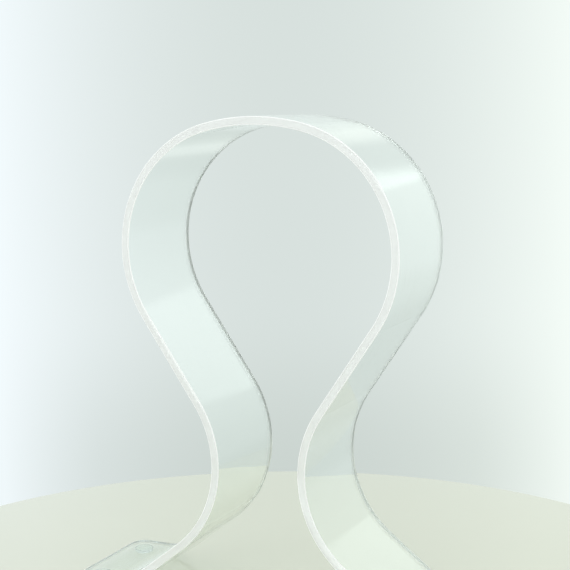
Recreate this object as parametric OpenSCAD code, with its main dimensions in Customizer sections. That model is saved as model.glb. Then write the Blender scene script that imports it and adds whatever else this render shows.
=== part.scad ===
// Headphone stand: one strip of clear cast acrylic, bent hot into an omega, on four silicone bumpers.
// Millimetres. +Z is up, +X is across the loop, Y is the depth of the strip.
// The origin is on the table, in the middle of the stand. All bend radii run to the middle of the sheet.

/* [Sheet] */
// Thickness of the acrylic sheet
sheet_t = 4; // [3:0.5:6]
// Width of the strip, which is the depth of the stand
strip_w = 60; // [40:1:90]
// Size of the small bevel polished along every cut edge
edge_bevel = 0.4; // [0.2:0.1:1]

/* [Loop] */
// Overall height from the table to the top of the crown
height = 240; // [230:1:300]
// Overall width of the loop, outside to outside
loop_w = 145; // [130:1:158]
// Bend radius of the crown, where the headband rests
crown_r = 105; // [85:1:200]
// Bend radius of the two sides of the loop
side_r = 60; // [50:1:67]
// How far the straight flank under each side leans inwards from upright, in degrees
flank_lean = 34; // [29:1:42]

/* [Neck] */
// Clear gap between the two limbs at the neck
neck_gap = 42; // [30:1:60]
// Bend radius of the neck, where each limb turns outwards again
neck_r = 55; // [40:1:64]

/* [Feet] */
// Slope of the straight leg above each foot, in degrees from level
leg_slope = 38; // [26:1:50]
// Bend radius of the heel, where the leg turns level
heel_r = 30; // [12:1:55]
// Length of the flat foot beyond the heel bend
foot_len = 20; // [17:1:45]
// Radius of the two rounded corners at the end of each foot
foot_corner_r = 8; // [2:0.5:14]

/* [Bumpers] */
// Largest diameter of a bumper, at its glued face
bumper_d = 10; // [6:0.5:13]
// Height of a bumper
bumper_h = 2; // [1.5:0.25:4]
// Radius of the rounded lower rim of a bumper
bumper_rim_r = 0.8; // [0.3:0.1:1.2]
// Distance from the end of the foot, and from each long edge, to the middle of a bumper
bumper_inset = 9; // [7:0.5:10]

/* [Hidden] */

// Turn of each facet of a bend, and of a rounded corner, in degrees
bend_step = 3;
corner_step = 9;
bumper_fn = 96;

// Half widths at the widest place of the loop and at the neck, to the middle of the sheet
side_x = loop_w / 2 - sheet_t / 2;
neck_x = neck_gap / 2 + sheet_t / 2;

// The crown turns until the tighter side bend can carry on to the width of the loop
crown_turn = asin((side_x - side_r) / (crown_r - side_r));
side_turn = 90 + flank_lean - crown_turn;

// The straight flank is as long as it takes to come in from the side to the neck
flank_inset = side_x - neck_x - (side_r + neck_r) * (1 - cos(flank_lean));
flank_len = flank_inset / sin(flank_lean);
neck_turn = 90 + flank_lean - leg_slope;

// The straight leg takes what the other stretches leave of the height
crown_z = height - sheet_t / 2;
foot_z = bumper_h + sheet_t / 2;
loop_drop = crown_r * (1 - cos(crown_turn)) + side_r * (cos(crown_turn) + sin(flank_lean));
flank_drop = flank_len * cos(flank_lean);
neck_drop = neck_r * (sin(flank_lean) + cos(leg_slope));
heel_drop = heel_r * (1 - cos(leg_slope));
leg_drop = crown_z - foot_z - loop_drop - flank_drop - neck_drop - heel_drop;
leg_len = leg_drop / sin(leg_slope);

// The strip is laid out as stretches, each [length, turn]. A positive turn bends it down, in degrees.
function straight(length) = [length, 0];
function bend_down(radius, turn) = [radius * turn * PI / 180, turn];
function bend_up(radius, turn) = [radius * turn * PI / 180, -turn];

// One half of the strip, from the middle of the crown to the end of a foot
half_strip = [
    bend_down(crown_r, crown_turn),
    bend_down(side_r, side_turn),
    straight(flank_len),
    bend_up(neck_r, neck_turn),
    straight(leg_len),
    bend_up(heel_r, leg_slope),
    straight(foot_len)
];
foot = len(half_strip) - 1;

// A place in the middle of the sheet is [x, z, heading], with the heading in degrees up from +X.
// This one lies at a distance along a stretch that begins at the place start.
function along(start, stretch, distance) =
    let (
        length = stretch[0],
        turn = stretch[1],
        heading = start[2] - turn * distance / length
    )
    turn == 0
        ? start + distance * [cos(heading), sin(heading), 0]
        : let (radius = length * 180 / (turn * PI))
          [
              start[0] + radius * (sin(start[2]) - sin(heading)),
              start[1] + radius * (cos(heading) - cos(start[2])),
              heading
          ];

// The place where a stretch begins is where the one before it ends
function start_of(i) =
    i == 0 ? [0, crown_z, 0] : along(start_of(i - 1), half_strip[i - 1], half_strip[i - 1][0]);

foot_start = start_of(foot);
foot_end_x = foot_start[0] + foot_len;

// A point off the middle of the sheet: y across the strip, rise towards its outer face
function point_at(place, y, rise) =
    [place[0] - rise * sin(place[2]), y, place[1] + rise * cos(place[2])];

// The eight corners of a cut across the strip. The cut edges of the sheet are at edge_place and
// half_w, and its two faces stop short of them by the bevel, at face_place and face_half_w.
function ring(edge_place, half_w, face_place, face_half_w) =
    let (
        face = sheet_t / 2,
        edge = face - edge_bevel
    )
    [
        point_at(face_place, face_half_w, face),
        point_at(edge_place, half_w, edge),
        point_at(edge_place, half_w, -edge),
        point_at(face_place, face_half_w, -face),
        point_at(face_place, -face_half_w, -face),
        point_at(edge_place, -half_w, -edge),
        point_at(edge_place, -half_w, edge),
        point_at(face_place, -face_half_w, face)
    ];

// Rings along the bends and the straight stretches, where the strip has its full width
function steps_of(stretch) = max(1, ceil(abs(stretch[1]) / bend_step));
long_rings = [
    for (i = [0:foot])
        for (k = [0:steps_of(half_strip[i]) - 1])
            let (
                stretch = half_strip[i],
                place = along(start_of(i), stretch, stretch[0] * k / steps_of(stretch))
            )
            ring(place, strip_w / 2, place, strip_w / 2 - edge_bevel)
];

// Rings at the end of the foot, where its corners narrow the strip
corner_steps = ceil(90 / corner_step);
corner_y = strip_w / 2 - foot_corner_r;
face_corner_r = foot_corner_r - edge_bevel;
corner_start = along(foot_start, half_strip[foot], foot_len - foot_corner_r);
end_rings = [
    for (k = [0:corner_steps])
        let (
            angle = 90 * k / corner_steps,
            edge_place = corner_start + [foot_corner_r * sin(angle), 0, 0],
            face_place = corner_start + [face_corner_r * sin(angle), 0, 0]
        )
        ring(
            edge_place,
            corner_y + foot_corner_r * cos(angle),
            face_place,
            corner_y + face_corner_r * cos(angle)
        )
];

// The whole strip: the left half is the right half mirrored, and they share the ring on the crown
right_rings = concat(long_rings, end_rings);
function mirrored(points) = [for (p = points) [-p[0], p[1], p[2]]];
left_rings = [for (i = [len(right_rings) - 1:-1:1]) mirrored(right_rings[i])];
band_rings = concat(left_rings, right_rings);

// Skin between one ring and the next, and over the ring at each end, in triangles
ring_n = 8;
last_ring = ring_n * (len(band_rings) - 1);
function quad(a, b, c, d) = [[a, b, c], [a, c, d]];
function flat_list(lists) = [for (list = lists) for (item = list) item];
band_skin = flat_list([
    for (r = [0:ring_n:last_ring - ring_n])
        for (j = [0:ring_n - 1])
            let (next = (j + 1) % ring_n)
            quad(r + j, r + next, r + ring_n + next, r + ring_n + j)
]);
start_cap = flat_list([quad(0, 7, 6, 1), quad(1, 6, 5, 2), quad(2, 5, 4, 3)]);
end_cap = [for (t = start_cap) [t[2], t[1], t[0]] + last_ring * [1, 1, 1]];

// The bent strip
module acrylic_band() {
    color([0.88, 0.93, 0.92, 0.4])
        polyhedron(
            points = flat_list(band_rings),
            faces = concat(band_skin, start_cap, end_cap)
        );
}

// A bumper glued under a foot: straight at the glued face, rounded at the table.
// side_x and side_y are -1 or 1.
module bumper(side_x, side_y) {
    bumper_r = bumper_d / 2;
    core_r = bumper_r - bumper_rim_r;
    bumper_x = foot_end_x - bumper_inset;
    bumper_y = strip_w / 2 - bumper_inset;
    color([0.90, 0.93, 0.93, 0.6])
        translate([side_x * bumper_x, side_y * bumper_y, 0])
            rotate_extrude($fn = bumper_fn) {
                translate([0, bumper_rim_r])
                    square([bumper_r, bumper_h - bumper_rim_r]);
                square([core_r, bumper_rim_r]);
                translate([core_r, bumper_rim_r])
                    intersection() {
                        circle(r = bumper_rim_r, $fn = bumper_fn);
                        translate([0, -bumper_rim_r])
                            square(bumper_rim_r);
                    }
            }
}

acrylic_band();
bumper(-1, -1);  // bumper_left_front
bumper(-1, 1);  // bumper_left_back
bumper(1, -1);  // bumper_right_front
bumper(1, 1);  // bumper_right_back
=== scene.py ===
import bpy
import math
from mathutils import Matrix, Vector


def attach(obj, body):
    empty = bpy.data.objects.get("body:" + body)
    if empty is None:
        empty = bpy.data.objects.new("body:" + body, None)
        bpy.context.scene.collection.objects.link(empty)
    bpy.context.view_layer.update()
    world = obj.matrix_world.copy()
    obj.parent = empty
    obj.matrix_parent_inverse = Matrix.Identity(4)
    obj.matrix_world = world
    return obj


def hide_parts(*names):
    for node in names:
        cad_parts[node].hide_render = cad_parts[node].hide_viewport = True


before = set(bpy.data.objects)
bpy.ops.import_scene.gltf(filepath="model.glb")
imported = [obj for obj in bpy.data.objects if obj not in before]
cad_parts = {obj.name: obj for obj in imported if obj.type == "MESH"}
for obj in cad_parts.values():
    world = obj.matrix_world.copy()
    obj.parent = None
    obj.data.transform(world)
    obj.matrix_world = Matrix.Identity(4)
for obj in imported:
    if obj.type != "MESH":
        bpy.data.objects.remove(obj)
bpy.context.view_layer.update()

# ---------------------------------------------------------------------------
# Camera. A short telephoto at crown height, a little to the right of the
# stand, tipped down so that the feet run out of the bottom of the frame.
# ---------------------------------------------------------------------------
MM = 0.001
CAMERA_PLACE = (281.7 * MM, -586.3 * MM, 247.9 * MM)
CAMERA_YAW = math.radians(25.53)
CAMERA_TIP = math.radians(-7.91)
CAMERA_ROLL = math.radians(-0.72)
CAMERA_LENS = 84.86
TURNS_OF_LIGHT = 40

camera_data = bpy.data.cameras.new("product_camera")
camera_data.sensor_width = 36.0
camera_data.lens = CAMERA_LENS
camera_data.clip_start = 10 * MM
camera_data.clip_end = 20000 * MM
camera = bpy.data.objects.new("product_camera", camera_data)
camera.matrix_world = (
    Matrix.Translation(CAMERA_PLACE)
    @ Matrix.Rotation(CAMERA_YAW, 4, "Z")
    @ Matrix.Rotation(math.radians(90) + CAMERA_TIP, 4, "X")
    @ Matrix.Rotation(CAMERA_ROLL, 4, "Z")
)
bpy.context.scene.collection.objects.link(camera)
bpy.context.scene.camera = camera
bpy.context.scene.view_settings.view_transform = "Standard"

# Light runs a long way inside clear sheet before it leaves, so its path may turn many times.
bpy.context.scene.cycles.max_bounces = TURNS_OF_LIGHT
bpy.context.scene.cycles.glossy_bounces = TURNS_OF_LIGHT
bpy.context.scene.cycles.transmission_bounces = TURNS_OF_LIGHT
# Clear sheet stays sharp for light that comes off the board too, or its shadow would be too dark.
bpy.context.scene.cycles.blur_glossy = 0.0

# ---------------------------------------------------------------------------
# Light tent. Pale grey-green cloth sewn into a tent round a small round table.
# Two lamps behind its back wall shine through and wash it nearly white either
# side of the middle.
# ---------------------------------------------------------------------------


def linear(code):
    """A hex colour as it shows on a screen, as linear red, green, blue and 1."""
    levels = [int(code[i : i + 2], 16) / 255 for i in (1, 3, 5)]
    curve = [v / 12.92 if v <= 0.04045 else ((v + 0.055) / 1.055) ** 2.4 for v in levels]
    return (*curve, 1.0)


def add_node(tree, kind, inputs=None, **settings):
    """Adds one node: settings are its own, and inputs are links or values by socket name."""
    made = tree.nodes.new(kind)
    for name, value in settings.items():
        setattr(made, name, value)
    for socket, value in (inputs or {}).items():
        if isinstance(value, bpy.types.NodeSocket):
            tree.links.new(value, made.inputs[socket])
        else:
            made.inputs[socket].default_value = value
    return made


def new_finish(name):
    """A new material with an empty node tree, and that tree."""
    finish = bpy.data.materials.new(name)
    finish.use_nodes = True
    finish.node_tree.nodes.clear()
    return finish, finish.node_tree


def ramp_stops(ramp_node, stops):
    """Sets a colour ramp's stops from (place, hex colour) pairs in rising order."""
    elements = ramp_node.color_ramp.elements
    while len(elements) > 1:
        elements.remove(elements[-1])
    elements[0].position = stops[0][0]
    elements[0].color = linear(stops[0][1])
    for place, code in stops[1:]:
        elements.new(place).color = linear(code)


tent = bpy.data.worlds.new("tent_cloth")
tent.use_nodes = True
tent_tree = tent.node_tree
tent_tree.nodes.clear()
# The turn brings the middle of the tent's back wall onto +X, halfway along the radial gradient.
BACK_WALL_TURN = -(math.radians(90) + CAMERA_YAW)
direction = add_node(tent_tree, "ShaderNodeTexCoord")
turned = add_node(
    tent_tree,
    "ShaderNodeMapping",
    {"Vector": direction.outputs["Generated"], "Rotation": (0, 0, BACK_WALL_TURN)},
)
round_wall = add_node(
    tent_tree, "ShaderNodeTexGradient", {"Vector": turned.outputs["Vector"]}, gradient_type="RADIAL"
)
off_middle = add_node(
    tent_tree, "ShaderNodeMath", {0: round_wall.outputs["Fac"], 1: 0.5}, operation="SUBTRACT"
)
to_one_side = add_node(
    tent_tree, "ShaderNodeMath", {0: off_middle.outputs[0]}, operation="ABSOLUTE"
)
# The lamps' light grows with the square of the turn from the middle. It is full 12 degrees
# off the middle, begins to fall at 15 and is gone by 23. Turns are in parts of a full circle.
FULL_TURN = 0.034
WASH_FALLS = 0.043
WASH_GONE = 0.064
share_of_turn = add_node(
    tent_tree, "ShaderNodeMapRange", {"Value": to_one_side.outputs[0], "From Max": FULL_TURN}
)
growing_wash = add_node(
    tent_tree, "ShaderNodeMath", {0: share_of_turn.outputs[0], 1: 2.0}, operation="POWER"
)
end_of_wash = add_node(
    tent_tree,
    "ShaderNodeMapRange",
    {
        "Value": to_one_side.outputs[0],
        "From Min": WASH_FALLS,
        "From Max": WASH_GONE,
        "To Min": 1.0,
        "To Max": 0.0,
    },
    interpolation_type="SMOOTHSTEP",
)
wash = add_node(
    tent_tree,
    "ShaderNodeMath",
    {0: growing_wash.outputs[0], 1: end_of_wash.outputs[0]},
    operation="MULTIPLY",
)
# The left lamp is cooler than the right one.
on_left = add_node(
    tent_tree, "ShaderNodeMath", {0: off_middle.outputs[0], 1: 0.0}, operation="GREATER_THAN"
)
washed_tone = add_node(
    tent_tree,
    "ShaderNodeMix",
    {0: on_left.outputs[0], 6: linear("#F5FDF8"), 7: linear("#F4FCFF")},
    data_type="RGBA",
)
cloth_colour = add_node(
    tent_tree,
    "ShaderNodeMix",
    {0: wash.outputs[0], 6: linear("#D8E1DE"), 7: washed_tone.outputs[2]},
    data_type="RGBA",
)
# The cloth falls into a little shade where it curves in, 9 to 16 degrees below the level
# view, and less so where the lamps wash it.
cloth_height = add_node(tent_tree, "ShaderNodeSeparateXYZ", {"Vector": direction.outputs["Generated"]})
below = add_node(
    tent_tree,
    "ShaderNodeMapRange",
    {
        "Value": cloth_height.outputs["Z"],
        "From Min": -0.15,
        "From Max": -0.28,
        "To Min": 0.0,
        "To Max": 1.0,
    },
    interpolation_type="SMOOTHSTEP",
)
away_from_sides = add_node(
    tent_tree,
    "ShaderNodeMapRange",
    {
        "Value": wash.outputs[0],
        "From Min": 0.45,
        "From Max": 1.20,
        "To Min": 1.0,
        "To Max": 0.0,
    },
)
shade = add_node(
    tent_tree,
    "ShaderNodeMath",
    {0: below.outputs[0], 1: away_from_sides.outputs[0]},
    operation="MULTIPLY",
)
shaded = add_node(
    tent_tree,
    "ShaderNodeMix",
    {0: shade.outputs[0], 6: cloth_colour.outputs[2], 7: linear("#F0F1EF")},
    data_type="RGBA",
    blend_type="MULTIPLY",
)
# What a gloss mirrors: past 29 degrees to either side the cloth is lit from behind, more so
# higher up. Light panels 17 to 31 degrees up hang at 37 to 49 and at 133 to 148 degrees. A dark
# card hangs on each side from 90 to 131 degrees and draws the thin dark line down the far edge
# of the clear strip. A ray that no gloss has turned sees the cloth alone.
lit_place = add_node(
    tent_tree,
    "ShaderNodeMapRange",
    {"Value": to_one_side.outputs[0], "From Min": 0.080, "From Max": 0.112, "To Min": 0.25},
    interpolation_type="SMOOTHSTEP",
)
lit_height = add_node(
    tent_tree,
    "ShaderNodeMapRange",
    {
        "Value": cloth_height.outputs["Z"],
        "From Min": -0.34,
        "From Max": 0.26,
        "To Min": 0.22,
        "To Max": 0.66,
    },
)
lit_cloth = add_node(
    tent_tree,
    "ShaderNodeMath",
    {0: lit_place.outputs[0], 1: lit_height.outputs[0]},
    operation="MULTIPLY",
)
panel_place = add_node(tent_tree, "ShaderNodeValToRGB", {"Fac": to_one_side.outputs[0]})
panel_place.color_ramp.interpolation = "EASE"
ramp_stops(
    panel_place,
    [
        (0.090, "#000000"),
        (0.104, "#FFFFFF"),
        (0.136, "#FFFFFF"),
        (0.146, "#000000"),
        (0.350, "#000000"),
        (0.370, "#FFFFFF"),
        (0.410, "#FFFFFF"),
        (0.430, "#000000"),
    ],
)
panel_height = add_node(tent_tree, "ShaderNodeValToRGB", {"Fac": cloth_height.outputs["Z"]})
panel_height.color_ramp.interpolation = "EASE"
ramp_stops(
    panel_height, [(0.255, "#000000"), (0.290, "#FFFFFF"), (0.520, "#FFFFFF"), (0.600, "#000000")]
)
panel = add_node(
    tent_tree,
    "ShaderNodeMath",
    {0: panel_place.outputs["Color"], 1: panel_height.outputs["Color"]},
    operation="MULTIPLY",
)
black_cards = add_node(tent_tree, "ShaderNodeValToRGB", {"Fac": to_one_side.outputs[0]})
black_cards.color_ramp.interpolation = "EASE"
ramp_stops(
    black_cards, [(0.220, "#FFFFFF"), (0.250, "#5C5C5C"), (0.365, "#5C5C5C"), (0.385, "#F2F2F2")]
)
cloth_and_cards = add_node(
    tent_tree,
    "ShaderNodeMath",
    {0: lit_cloth.outputs[0], 1: black_cards.outputs["Color"], 2: black_cards.outputs["Color"]},
    operation="MULTIPLY_ADD",
)
PANEL_GLOW = 0.6
mirrored_glow = add_node(
    tent_tree,
    "ShaderNodeMath",
    {0: panel.outputs[0], 1: PANEL_GLOW, 2: cloth_and_cards.outputs[0]},
    operation="MULTIPLY_ADD",
)
ray = add_node(tent_tree, "ShaderNodeLightPath")
mirrored = add_node(
    tent_tree,
    "ShaderNodeMath",
    {0: ray.outputs["Glossy Depth"], 1: 0.5},
    operation="GREATER_THAN",
)
glow = add_node(
    tent_tree,
    "ShaderNodeMix",
    {0: mirrored.outputs[0], 2: 1.0, 3: mirrored_glow.outputs[0]},
    data_type="FLOAT",
)
seen = add_node(
    tent_tree,
    "ShaderNodeBackground",
    {"Color": shaded.outputs[2], "Strength": glow.outputs[0]},
)
LIGHT_FROM_CLOTH = 1.03
lit = add_node(
    tent_tree, "ShaderNodeBackground", {"Color": linear("#F6FAF8"), "Strength": LIGHT_FROM_CLOTH}
)
glossy_or_clear = add_node(
    tent_tree,
    "ShaderNodeMath",
    {0: ray.outputs["Is Glossy Ray"], 1: ray.outputs["Is Transmission Ray"]},
    operation="MAXIMUM",
)
looked_at = add_node(
    tent_tree,
    "ShaderNodeMath",
    {0: glossy_or_clear.outputs[0], 1: ray.outputs["Is Camera Ray"]},
    operation="MAXIMUM",
)
# Light that went through the clear strip to a matt face still counts as lighting it.
not_scattered = add_node(
    tent_tree,
    "ShaderNodeMath",
    {0: ray.outputs["Diffuse Depth"], 1: 0.5},
    operation="LESS_THAN",
)
looked_at_straight = add_node(
    tent_tree,
    "ShaderNodeMath",
    {0: looked_at.outputs[0], 1: not_scattered.outputs[0]},
    operation="MULTIPLY",
)
cloth = add_node(
    tent_tree,
    "ShaderNodeMixShader",
    {0: looked_at_straight.outputs[0], 1: lit.outputs[0], 2: seen.outputs[0]},
)
add_node(tent_tree, "ShaderNodeOutputWorld", {"Surface": cloth.outputs[0]})
bpy.context.scene.world = tent


def soft_lamp(name, place, aim, size, radiance, tint):
    """A flat soft lamp. Its power is what gives the wanted brightness over its area."""
    data = bpy.data.lights.new(name, "AREA")
    data.shape = "RECTANGLE"
    data.size = size[0]
    data.size_y = size[1]
    data.energy = radiance * math.pi * size[0] * size[1]
    data.color = linear(tint)[:3]
    lamp = bpy.data.objects.new(name, data)
    away = Vector(place) - Vector(aim)
    lamp.matrix_world = Matrix.Translation(place) @ away.to_track_quat("Z", "Y").to_matrix().to_4x4()
    lamp.visible_camera = False
    lamp.visible_glossy = False
    lamp.visible_transmission = False
    bpy.context.scene.collection.objects.link(lamp)


STAND_MIDDLE = (0.0, 0.0, 0.12)
soft_lamp("lamp_front", (0.10, -1.10, 0.70), STAND_MIDDLE, (0.90, 0.70), 0.8, "#FFFFFF")
soft_lamp("lamp_top", (-0.05, -0.05, 0.95), STAND_MIDDLE, (0.70, 0.70), 0.3, "#FFFFFF")

# ---------------------------------------------------------------------------
# Turntable. A round board of pale laminate, 486 mm across, with a softened
# edge; the stand rests at its middle.
# ---------------------------------------------------------------------------
TABLE_RADIUS = 243 * MM
TABLE_THICK = 12 * MM
TABLE_EDGE = 1.5 * MM
TABLE_MIDDLE = (1 * MM, -17.5 * MM)
# A hair below the feet, so that light still passes under what rests on the board.
TABLE_TOP = -0.05 * MM
TABLE_TURNS = 192


def lathe(name, profile, turns, middle=(0.0, 0.0)):
    """A mesh turned about the vertical from (radius, height) points; both ends close on the axis."""
    points = []
    faces = []
    rings = [p for p in profile if p[0] > 0]
    for radius, height in rings:
        for k in range(turns):
            a = 2 * math.pi * k / turns
            points.append((middle[0] + radius * math.cos(a), middle[1] + radius * math.sin(a), height))
    for i in range(len(rings) - 1):
        for k in range(turns):
            n = (k + 1) % turns
            faces.append((i * turns + k, i * turns + n, (i + 1) * turns + n, (i + 1) * turns + k))
    first = len(points)
    points.append((middle[0], middle[1], profile[0][1]))
    points.append((middle[0], middle[1], profile[-1][1]))
    last = (len(rings) - 1) * turns
    for k in range(turns):
        n = (k + 1) % turns
        faces.append((first, n, k))
        faces.append((first + 1, last + k, last + n))
    made = bpy.data.meshes.new(name)
    made.from_pydata(points, [], faces)
    made.update()
    return made


def quarter(radius, height, edge, start, steps=6):
    """Points of a quarter-round edge about (radius, height), starting at an angle in degrees."""
    return [
        (
            radius + edge * math.cos(math.radians(start + 90 * k / steps)),
            height + edge * math.sin(math.radians(start + 90 * k / steps)),
        )
        for k in range(steps + 1)
    ]


table_profile = [(0.0, TABLE_TOP - TABLE_THICK)]
table_profile += quarter(TABLE_RADIUS - TABLE_EDGE, TABLE_TOP - TABLE_THICK + TABLE_EDGE, TABLE_EDGE, -90)
table_profile += quarter(TABLE_RADIUS - TABLE_EDGE, TABLE_TOP - TABLE_EDGE, TABLE_EDGE, 0)
table_profile += [(0.0, TABLE_TOP)]
table_mesh = lathe("turntable", table_profile, TABLE_TURNS, TABLE_MIDDLE)
table_mesh.shade_smooth()
table = bpy.data.objects.new("turntable", table_mesh)
bpy.context.scene.collection.objects.link(table)

# Pressed laminate with a satin face, which gives a soft mirror image of what stands on it.
GRAINS_PER_METRE = 900.0
laminate, laminate_tree = new_finish("satin_laminate_board")
board = add_node(laminate_tree, "ShaderNodeTexCoord")
grain = add_node(
    laminate_tree,
    "ShaderNodeTexNoise",
    {"Vector": board.outputs["Object"], "Scale": GRAINS_PER_METRE, "Detail": 2.0},
)
grain_bump = add_node(
    laminate_tree,
    "ShaderNodeBump",
    {"Height": grain.outputs["Fac"], "Strength": 0.05, "Distance": 0.2 * MM},
)
board_face = add_node(
    laminate_tree,
    "ShaderNodeBsdfPrincipled",
    {
        "Base Color": linear("#D2D5C5"),
        "Roughness": 0.15,
        "IOR": 1.6,
        "Normal": grain_bump.outputs["Normal"],
    },
)
add_node(laminate_tree, "ShaderNodeOutputMaterial", {"Surface": board_face.outputs[0]})
table_mesh.materials.append(laminate)

# ---------------------------------------------------------------------------
# Acrylic band. One strip of clear cast acrylic sheet, 4 mm thick and 60 mm
# wide, saw-cut, flame-polished along its edges and bent warm round formers
# into an open loop on two splayed legs with flat feet.
# ---------------------------------------------------------------------------
SHEET = 4 * MM
STRIP_WIDTH = 60 * MM
ARRIS = 0.4 * MM
TOTAL_HEIGHT = 240 * MM
LOOP_WIDTH = 145 * MM
CROWN_RADIUS = 105 * MM
SIDE_RADIUS = 60 * MM
FLANK_LEAN = math.radians(34)
NECK_GAP = 42 * MM
NECK_RADIUS = 55 * MM
LEG_SLOPE = math.radians(38)
HEEL_RADIUS = 30 * MM
FOOT_LENGTH = 20 * MM
FOOT_CORNER = 8 * MM
BUMPER_HEIGHT = 2 * MM

BEND_STEP = math.radians(0.5)
STRAIGHT_STEP = 4 * MM
CORNER_STEPS = 10
ARRIS_STEPS = 4
WIDTH_PARTS = 8

# The bends are radii to the middle of the sheet, and each run starts where the last one ends.
loop_side = LOOP_WIDTH / 2 - SHEET / 2
neck_side = NECK_GAP / 2 + SHEET / 2
crown_turn = math.asin((loop_side - SIDE_RADIUS) / (CROWN_RADIUS - SIDE_RADIUS))
side_turn = math.radians(90) + FLANK_LEAN - crown_turn
lean_inset = (SIDE_RADIUS + NECK_RADIUS) * (1 - math.cos(FLANK_LEAN))
flank_length = (loop_side - neck_side - lean_inset) / math.sin(FLANK_LEAN)
neck_turn = math.radians(90) + FLANK_LEAN - LEG_SLOPE

# The straight leg takes what the other runs leave of the height.
crown_height = TOTAL_HEIGHT - SHEET / 2
loop_drop = CROWN_RADIUS * (1 - math.cos(crown_turn))
loop_drop += SIDE_RADIUS * (math.cos(crown_turn) + math.sin(FLANK_LEAN))
neck_drop = NECK_RADIUS * (math.sin(FLANK_LEAN) + math.cos(LEG_SLOPE))
heel_drop = HEEL_RADIUS * (1 - math.cos(LEG_SLOPE))
leg_drop = crown_height - BUMPER_HEIGHT - SHEET / 2 - loop_drop - neck_drop - heel_drop
leg_drop -= flank_length * math.cos(FLANK_LEAN)
leg_length = leg_drop / math.sin(LEG_SLOPE)

# One half of the strip as (length, turn) runs from the crown; a positive turn bends it down.
half_strip = [
    (CROWN_RADIUS * crown_turn, crown_turn),
    (SIDE_RADIUS * side_turn, side_turn),
    (flank_length, 0.0),
    (NECK_RADIUS * neck_turn, -neck_turn),
    (leg_length, 0.0),
    (HEEL_RADIUS * LEG_SLOPE, -LEG_SLOPE),
    (FOOT_LENGTH, 0.0),
]
half_length = sum(length for length, turn in half_strip)


def strip_place(distance):
    """Middle of the sheet at a distance from the crown, as x, z and the heading up from +X."""
    x, z, heading = 0.0, crown_height, 0.0
    left = abs(distance)
    for length, turn in half_strip:
        part = min(left, length)
        if turn == 0:
            x += part * math.cos(heading)
            z += part * math.sin(heading)
        else:
            radius = length / turn
            end = heading - part / radius
            x += radius * (math.sin(heading) - math.sin(end))
            z += radius * (math.cos(end) - math.cos(heading))
            heading = end
        left -= part
        if left <= 0:
            break
    return (x, z, heading) if distance >= 0 else (-x, z, -heading)


def bent(distance, across, rise, out=(0.0, 0.0), up=1.0):
    """A point of the flat strip once it is bent, and its normal from (along, across) and up."""
    x, z, heading = strip_place(distance)
    along_way = Vector((math.cos(heading), 0, math.sin(heading)))
    up_way = Vector((-math.sin(heading), 0, math.cos(heading)))
    point = Vector((x, across, z)) + rise * up_way
    normal = out[0] * along_way + out[1] * Vector((0, 1, 0)) + up * up_way
    return point, normal.normalized()


# Stations down one half: the cut edge's place in the flat strip and the way it faces.
half_stations = []
run_start = 0.0
for length, turn in half_strip:
    run_end = min(run_start + length, half_length - FOOT_CORNER)
    step = BEND_STEP * length / abs(turn) if turn else STRAIGHT_STEP
    parts = max(1, round((run_end - run_start) / step))
    for k in range(parts):
        half_stations.append((run_start + (run_end - run_start) * k / parts, STRIP_WIDTH / 2, 0.0))
    run_start += length
for k in range(CORNER_STEPS + 1):
    angle = math.radians(90 * k / CORNER_STEPS)
    along = half_length - FOOT_CORNER + FOOT_CORNER * math.sin(angle)
    across = STRIP_WIDTH / 2 - FOOT_CORNER + FOOT_CORNER * math.cos(angle)
    half_stations.append((along, across, angle))
stations = [(-s, y, -a) for s, y, a in reversed(half_stations[1:])] + half_stations

# The cut edge's section from the outer face to the inner one: inset, height, outward and up.
half_section = []
for k in range(ARRIS_STEPS + 1):
    angle = math.radians(90 * k / ARRIS_STEPS)
    inset = ARRIS * (1 - math.sin(angle))
    height = SHEET / 2 - ARRIS * (1 - math.cos(angle))
    half_section.append((inset, height, math.sin(angle), math.cos(angle)))
section = half_section + [(i, -h, o, -u) for i, h, o, u in reversed(half_section)]

band_points = []
band_normals = []
band_flat = []


def band_point(s, y, facing, level):
    """Adds the point of a section level at a place on the outline, and gives its number."""
    inset, height, outward, up = level
    along = s - inset * facing[0]
    across = y - inset * facing[1]
    out = (outward * facing[0], outward * facing[1])
    point, normal = bent(along, across, height, out, up)
    band_points.append(point)
    band_normals.append(normal)
    band_flat.append((along, across))
    return len(band_points) - 1


# The outline runs along the front from foot to foot, across the right foot's end, and back.
front = [(s, -y, (math.sin(a), -math.cos(a))) for s, y, a in stations]
back = [(s, y, (math.sin(a), math.cos(a))) for s, y, a in stations]
end_width = STRIP_WIDTH - 2 * FOOT_CORNER
end_places = [end_width * (k / WIDTH_PARTS - 0.5) for k in range(1, WIDTH_PARTS)]
outline = front + [(half_length, y, (1.0, 0.0)) for y in end_places]
outline += list(reversed(back)) + [(-half_length, -y, (-1.0, 0.0)) for y in end_places]
rows = [[band_point(s, y, facing, level) for s, y, facing in outline] for level in section]

band_faces = []
edge_faces = []
edge_lengths = [0.0]
for i in range(len(outline)):
    n = (i + 1) % len(outline)
    gap = math.dist(outline[i][:2], outline[n][:2])
    edge_lengths.append(edge_lengths[-1] + gap)
    for j in range(len(section) - 1):
        edge_faces.append(len(band_faces))
        band_faces.append((rows[j][n], rows[j][i], rows[j + 1][i], rows[j + 1][n]))

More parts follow.
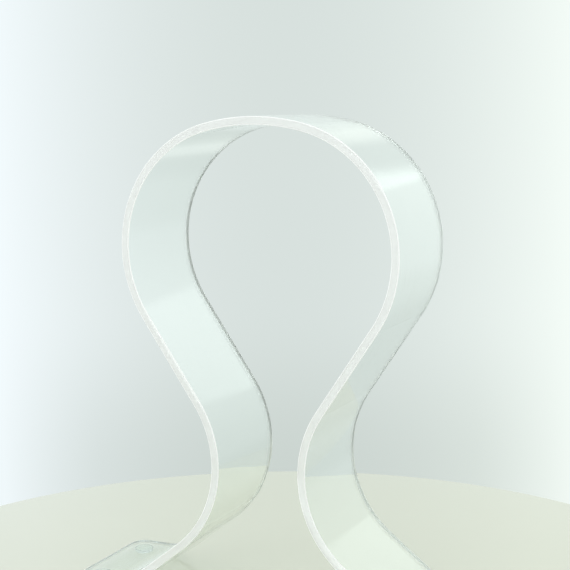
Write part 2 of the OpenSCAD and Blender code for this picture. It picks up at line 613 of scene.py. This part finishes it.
# The two broad faces are rows across the strip, closed at each end by the outline's own points.
front_count = len(front)
for level_index, flip in ((0, False), (len(section) - 1, True)):
    first_inner = len(band_faces)
    row = rows[level_index]
    level = section[level_index]
    grid = []
    for i in range(front_count):
        first = row[i]
        last = row[2 * front_count + WIDTH_PARTS - 2 - i]
        if i == 0:
            inner = list(reversed(row[-(WIDTH_PARTS - 1) :]))
        elif i == front_count - 1:
            inner = row[front_count : front_count + WIDTH_PARTS - 1]
        else:
            s, reach = band_flat[last]
            inner = []
            for k in range(1, WIDTH_PARTS):
                point, normal = bent(s, reach * (2 * k / WIDTH_PARTS - 1), level[1], up=level[3])
                band_points.append(point)
                band_normals.append(normal)
                band_flat.append((s, reach * (2 * k / WIDTH_PARTS - 1)))
                inner.append(len(band_points) - 1)
        grid.append([first, *inner, last])
    for here, beyond in zip(grid, grid[1:]):
        for k in range(WIDTH_PARTS):
            corners = (here[k], beyond[k], beyond[k + 1], here[k + 1])
            band_faces.append(tuple(reversed(corners)) if flip else corners)

band_mesh = bpy.data.meshes.new("bent_acrylic_strip")
band_mesh.from_pydata(band_points, [], band_faces)
band_mesh.update()
band_mesh.shade_smooth()
band_mesh.normals_split_custom_set_from_vertices(band_normals)

# Lengths along the flat strip, for the finishes: broad faces by place, the inner one set aside
# so that its marks differ, and cut edges by their run and height.
INNER_ASIDE = 200 * MM
SHEET_SLOT, CUT_EDGE_SLOT, ARRIS_SLOT = 0, 1, 2
flat_map = band_mesh.uv_layers.new(name="flat_strip")
for number, face in enumerate(band_mesh.polygons):
    if number < len(edge_faces):
        i, j = divmod(number, len(section) - 1)
        heights = (section[j][1], section[j][1], section[j + 1][1], section[j + 1][1])
        runs = (edge_lengths[i + 1], edge_lengths[i], edge_lengths[i], edge_lengths[i + 1])
        for loop, run, height in zip(face.loop_indices, runs, heights):
            flat_map.data[loop].uv = (run, height)
        face.material_index = CUT_EDGE_SLOT if j == ARRIS_STEPS else ARRIS_SLOT
        continue
    aside = INNER_ASIDE if number >= first_inner else 0.0
    for loop in face.loop_indices:
        along, across = band_flat[band_mesh.loops[loop].vertex_index]
        flat_map.data[loop].uv = (along, across + aside)
    face.material_index = SHEET_SLOT

# Cast acrylic sheet: dead clear and glossy. Faint waves from the bending heat bend its
# reflections, and wiped finger marks, hairline scratches and dust sit on the gloss.
ACRYLIC_IOR = 1.49


def acrylic_body(tree, face):
    """Fills an acrylic finish with the sheet's faint green tint and joins it to the output."""
    tint = add_node(tree, "ShaderNodeVolumeAbsorption", {"Color": linear("#E2F1EA"), "Density": 3.0})
    add_node(
        tree, "ShaderNodeOutputMaterial", {"Surface": face.outputs[0], "Volume": tint.outputs[0]}
    )


acrylic, acrylic_tree = new_finish("clear_cast_acrylic")
sheet_place = add_node(acrylic_tree, "ShaderNodeUVMap", uv_map="flat_strip")
SHEET_WAVE = 28 * MM
waves = add_node(
    acrylic_tree,
    "ShaderNodeTexNoise",
    {"Vector": sheet_place.outputs[0], "Scale": 1 / SHEET_WAVE, "Detail": 0.0},
    noise_dimensions="2D",
)
# Hairlines run nearly along the strip; real ones are 0.05 mm wide and are drawn about 0.2 mm
# wide so that they show.
HAIRLINE_SLANT = math.radians(7)
HAIRLINES_PER_METRE = (26, 1900, 1)
hairline_place = add_node(
    acrylic_tree,
    "ShaderNodeMapping",
    {
        "Vector": sheet_place.outputs[0],
        "Rotation": (0, 0, HAIRLINE_SLANT),
        "Scale": HAIRLINES_PER_METRE,
    },
)
hairlines = add_node(
    acrylic_tree,
    "ShaderNodeTexNoise",
    {"Vector": hairline_place.outputs[0], "Scale": 1.0, "Detail": 1.0},
    noise_dimensions="2D",
)
hairline_mask = add_node(
    acrylic_tree,
    "ShaderNodeMapRange",
    {"Value": hairlines.outputs[0], "From Min": 0.75, "From Max": 0.80},
)
# Finger marks are about 16 mm across and smeared to 29 mm along the strip by wiping.
MARKS_PER_METRE = (34, 62, 1)
wiped_place = add_node(
    acrylic_tree, "ShaderNodeMapping", {"Vector": sheet_place.outputs[0], "Scale": MARKS_PER_METRE}
)
wiped = add_node(
    acrylic_tree,
    "ShaderNodeTexNoise",
    {"Vector": wiped_place.outputs[0], "Scale": 1.0, "Detail": 5.0, "Roughness": 0.62},
    noise_dimensions="2D",
)
wiped_mask = add_node(
    acrylic_tree,
    "ShaderNodeMapRange",
    {"Value": wiped.outputs[0], "From Min": 0.52, "From Max": 0.72, "To Max": 0.05},
)
# Dust lies about 16 mm apart in specks 0.3 mm across.
DUST_APART = 16 * MM
DUST_RADIUS = 0.2 * MM
dust = add_node(
    acrylic_tree,
    "ShaderNodeTexVoronoi",
    {"Vector": sheet_place.outputs[0], "Scale": 1 / DUST_APART},
    voronoi_dimensions="2D",
)
dust_mask = add_node(
    acrylic_tree,
    "ShaderNodeMapRange",
    {
        "Value": dust.outputs["Distance"],
        "From Min": DUST_RADIUS / DUST_APART,
        "From Max": 0.5 * DUST_RADIUS / DUST_APART,
    },
)
marks = add_node(
    acrylic_tree,
    "ShaderNodeMath",
    {0: hairline_mask.outputs[0], 1: 0.15, 2: wiped_mask.outputs[0]},
    operation="MULTIPLY_ADD",
)
sheet_roughness = add_node(
    acrylic_tree,
    "ShaderNodeMath",
    {0: dust_mask.outputs[0], 1: 0.6, 2: marks.outputs[0]},
    operation="MULTIPLY_ADD",
)
wave_bump = add_node(
    acrylic_tree,
    "ShaderNodeBump",
    {"Height": waves.outputs[0], "Strength": 1.0, "Distance": 0.03 * MM},
)
hairline_bump = add_node(
    acrylic_tree,
    "ShaderNodeBump",
    {
        "Height": hairline_mask.outputs[0],
        "Strength": 0.3,
        "Distance": 0.005 * MM,
        "Normal": wave_bump.outputs[0],
    },
    invert=True,
)
sheet_colour = add_node(
    acrylic_tree,
    "ShaderNodeMix",
    {0: dust_mask.outputs[0], 6: linear("#FBFEFC"), 7: linear("#C9CCC9")},
    data_type="RGBA",
)
sheet_face = add_node(
    acrylic_tree,
    "ShaderNodeBsdfPrincipled",
    {
        "Base Color": sheet_colour.outputs[2],
        "Roughness": sheet_roughness.outputs[0],
        "IOR": ACRYLIC_IOR,
        "Transmission Weight": 1.0,
        "Normal": hairline_bump.outputs[0],
    },
)
acrylic_body(acrylic_tree, sheet_face)

# Its cut edge, saw-cut and flame-polished, with a shallow ripple left across it by the flame.
# Light that runs down the sheet comes out here; that light is painted into the edge as a white
# matt share, so it looks glassy and mostly white.
cut_edge, edge_tree = new_finish("flame_polished_acrylic_edge")
edge_place = add_node(edge_tree, "ShaderNodeUVMap", uv_map="flat_strip")
RIPPLE = 3 * MM
ripple_place = add_node(
    edge_tree,
    "ShaderNodeMapping",
    {"Vector": edge_place.outputs[0], "Scale": (1 / RIPPLE, 0.3 / RIPPLE, 1)},
)
ripple = add_node(
    edge_tree,
    "ShaderNodeTexNoise",
    {"Vector": ripple_place.outputs[0], "Scale": 1.0, "Detail": 0.0},
    noise_dimensions="2D",
)
ripple_bump = add_node(
    edge_tree,
    "ShaderNodeBump",
    {"Height": ripple.outputs[0], "Strength": 1.0, "Distance": 0.002 * MM},
)
# The flame's polish varies from patch to patch, about 11 mm apart.
PATCHES_PER_METRE = 90.0
polish = add_node(
    edge_tree,
    "ShaderNodeTexNoise",
    {"Vector": edge_place.outputs[0], "Scale": PATCHES_PER_METRE, "Detail": 3.0},
    noise_dimensions="2D",
)
edge_roughness = add_node(
    edge_tree,
    "ShaderNodeMapRange",
    {"Value": polish.outputs[0], "From Min": 0.35, "From Max": 0.65, "To Min": 0.02, "To Max": 0.06},
)
edge_face = add_node(
    edge_tree,
    "ShaderNodeBsdfPrincipled",
    {
        # Painted light: the white matt share stands for the light that the sheet pipes out of its edge.
        "Base Color": linear("#FFFFFF"),
        "Roughness": edge_roughness.outputs[0],
        "IOR": ACRYLIC_IOR,
        "Transmission Weight": 0.35,
        "Normal": ripple_bump.outputs[0],
    },
)
acrylic_body(edge_tree, edge_face)

# The arrises, scraped by hand to take off the sharp corner, are satin. Their white is a painted
# highlight: a bright hairline either side of the cut edge, where the sheet gives out light.
arris, arris_tree = new_finish("scraped_acrylic_arris")
arris_place = add_node(arris_tree, "ShaderNodeUVMap", uv_map="flat_strip")
SCRAPE = 0.35 * MM
scrape = add_node(
    arris_tree,
    "ShaderNodeTexNoise",
    {"Vector": arris_place.outputs[0], "Scale": 1 / SCRAPE, "Detail": 2.0},
    noise_dimensions="2D",
)
scrape_bump = add_node(
    arris_tree,
    "ShaderNodeBump",
    {"Height": scrape.outputs[0], "Strength": 1.0, "Distance": 0.001 * MM},
)
scrape_roughness = add_node(
    arris_tree,
    "ShaderNodeMapRange",
    {"Value": scrape.outputs[0], "From Min": 0.3, "From Max": 0.7, "To Min": 0.3, "To Max": 0.5},
)
arris_face = add_node(
    arris_tree,
    "ShaderNodeBsdfPrincipled",
    {
        # Painted highlight: white for the bright hairline of light at each corner of the edge.
        "Base Color": linear("#FFFFFF"),
        "Roughness": scrape_roughness.outputs[0],
        "IOR": ACRYLIC_IOR,
        "Transmission Weight": 0.1,
        "Normal": scrape_bump.outputs[0],
    },
)
acrylic_body(arris_tree, arris_face)

for finish in (acrylic, cut_edge, arris):
    band_mesh.materials.append(finish)

band = bpy.data.objects.new("bent_acrylic_band", band_mesh)
bpy.context.scene.collection.objects.link(band)
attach(band, "root")
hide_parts("acrylic_band")

# ---------------------------------------------------------------------------
# Bumpers. Four round feet of soft clear silicone, moulded with a rounded rim
# and stuck under the corners of the feet by a thin disc of clear adhesive.
# ---------------------------------------------------------------------------
BUMPER_RADIUS = 5 * MM
BUMPER_RIM = 0.8 * MM
BUMPER_INSET = 9 * MM
BUMPER_TURNS = 96
GLUE_THICK = 0.12 * MM
GLUE_RADIUS = 4.7 * MM
GLUE_GAP = 0.02 * MM

# Moulded silicone: clear and soft-looking, with a faint haze on its skin.
HAZE_PER_METRE = 1500.0
silicone, silicone_tree = new_finish("moulded_clear_silicone")
silicone_place = add_node(silicone_tree, "ShaderNodeTexCoord")
haze = add_node(
    silicone_tree,
    "ShaderNodeTexNoise",
    {"Vector": silicone_place.outputs["Object"], "Scale": HAZE_PER_METRE, "Detail": 2.0},
)
haze_bump = add_node(
    silicone_tree,
    "ShaderNodeBump",
    {"Height": haze.outputs["Fac"], "Strength": 0.1, "Distance": 0.1 * MM},
)
silicone_face = add_node(
    silicone_tree,
    "ShaderNodeBsdfPrincipled",
    {
        "Base Color": linear("#F6FAF9"),
        "Roughness": 0.15,
        "IOR": 1.41,
        "Transmission Weight": 1.0,
        "Normal": haze_bump.outputs["Normal"],
    },
)
add_node(silicone_tree, "ShaderNodeOutputMaterial", {"Surface": silicone_face.outputs[0]})

bumper_profile = [(0.0, 0.0)]
bumper_profile += quarter(BUMPER_RADIUS - BUMPER_RIM, BUMPER_RIM, BUMPER_RIM, -90)
bumper_profile += [(BUMPER_RADIUS, BUMPER_HEIGHT - GLUE_THICK), (GLUE_RADIUS, BUMPER_HEIGHT - GLUE_THICK)]
bumper_profile += [(GLUE_RADIUS, BUMPER_HEIGHT - GLUE_GAP), (0.0, BUMPER_HEIGHT - GLUE_GAP)]
foot_end = strip_place(half_length)[0]
for side, side_sign in (("left", -1), ("right", 1)):
    for row_name, row_sign in (("front", -1), ("back", 1)):
        middle = (
            side_sign * (foot_end - BUMPER_INSET),
            row_sign * (STRIP_WIDTH / 2 - BUMPER_INSET),
        )
        bumper_mesh = lathe("silicone_bumper", bumper_profile, BUMPER_TURNS, middle)
        bumper_mesh.shade_smooth()
        bumper_mesh.set_sharp_from_angle(angle=math.radians(40))
        bumper_mesh.materials.append(silicone)
        bumper = bpy.data.objects.new(f"silicone_bumper_{side}_{row_name}", bumper_mesh)
        bpy.context.scene.collection.objects.link(bumper)
        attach(bumper, "root")
        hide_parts(f"bumper_{side}_{row_name}")
